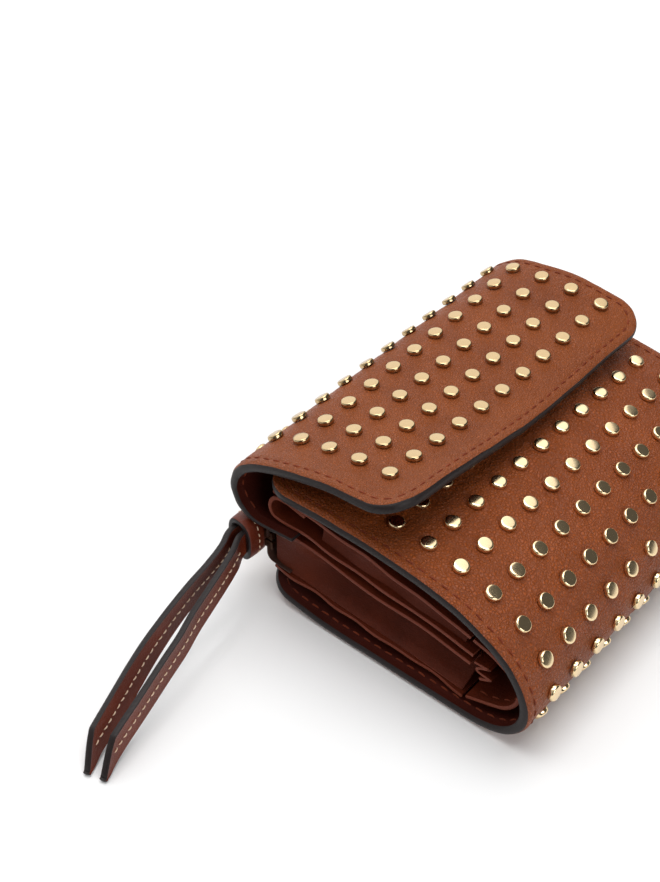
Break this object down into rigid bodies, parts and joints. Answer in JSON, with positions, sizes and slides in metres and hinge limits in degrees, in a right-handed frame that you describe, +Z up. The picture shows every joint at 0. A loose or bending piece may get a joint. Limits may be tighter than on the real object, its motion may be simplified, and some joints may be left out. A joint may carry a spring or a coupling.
{
  "type": "flap wallet",
  "caption": "Trifold flap wallet in pebbled leather with rows of flat metal studs, an inner zip pocket and a hitched leather strap as the zip pull.",
  "frame": {"origin": "on the flat underside of the back panel, midway along the folds; +X runs along the fold lines towards the end away from the strap", "axes": "+X along the fold lines, +Y from the front fold to the rear curl, +Z up out of the back panel"},
  "size_m": [0.1751, 0.091, 0.0473],
  "materials": {
    "studded_leather": "pebbled cognac leather with dark painted edges",
    "inner_leather": "smooth brown leather leaf",
    "lining": "thin dark red lining",
    "board": "fibre stiffener board",
    "stud_metal": "polished pale gold studs",
    "zip_tape": "olive tan woven tape",
    "zip_metal": "brass zip teeth and slider",
    "strap_leather": "smooth strap leather with a cream centre stitch",
    "snap_metal": "plated magnetic snap"
  },
  "bodies": {
    "wallet": {"back_panel_leather": "studded_leather", "back_panel_board": "board", "back_panel_lining": "lining", "fold_studs_lower": "stud_metal", "flap_spine_leather": "studded_leather", "flap_spine_lining": "lining", "spine_studs": "stud_metal", "card_leaf": "inner_leather", "card_pocket_1": "inner_leather", "card_pocket_2": "inner_leather", "card_pocket_3": "inner_leather", "fold_lining": "inner_leather", "note_pocket_wall": "inner_leather", "note_gusset_near": "inner_leather", "note_gusset_far": "inner_leather", "coin_pocket_roof": "inner_leather", "coin_pocket_floor": "inner_leather", "coin_gusset_near": "inner_leather", "coin_gusset_far": "inner_leather", "gusset_pleat_near": "inner_leather", "gusset_pleat_far": "inner_leather", "zip_tape_upper": "zip_tape", "zip_tape_lower": "zip_tape", "zip_teeth_upper": "zip_metal", "zip_teeth_lower": "zip_metal", "zip_stops": "zip_metal"},
    "flap": {"flap_leather": "studded_leather", "flap_board": "board", "flap_lining": "lining", "flap_studs": "stud_metal", "shoulder_studs": "stud_metal", "snap_puck": "snap_metal"},
    "front_panel": {"front_panel_leather": "studded_leather", "front_panel_board": "board", "front_panel_lining": "lining", "front_panel_studs": "stud_metal", "fold_studs_upper": "stud_metal", "snap_socket": "snap_metal"},
    "slider": {"zip_slider": "zip_metal", "slider_bail": "zip_metal"},
    "pull": {"pull_ring": "zip_metal", "strap_root": "strap_leather", "strap_bight": "strap_leather", "strap_tail_rear": "strap_leather", "strap_tail_front": "strap_leather"}
  },
  "joints": [
    {"name": "flap_open", "type": "hinge", "parent": "wallet", "child": "flap", "pos_m": [0, 0.0465, 0.035], "axis": [-1, 0, 0], "range_deg": [0, 175]},
    {"name": "panel_open", "type": "hinge", "parent": "wallet", "child": "front_panel", "pos_m": [0, -0.0452, 0.012], "axis": [1, 0, 0], "range_deg": [0, 45]},
    {"name": "zip_slide", "type": "slide", "parent": "wallet", "child": "slider", "axis": [1, 0, 0], "range_m": [0, 0.087]},
    {"name": "pull_swing", "type": "hinge", "parent": "slider", "child": "pull", "pos_m": [-0.046, 0.0386, 0.0158], "axis": [0, 0, 1], "range_deg": [-110, 0]}
  ],
  "couplings": [
    {"joint": "panel_open", "follows": "flap_open", "ratio": 0.25},
    {"joint": "pull_swing", "follows": "zip_slide", "rad_per_m": -22}
  ]
}
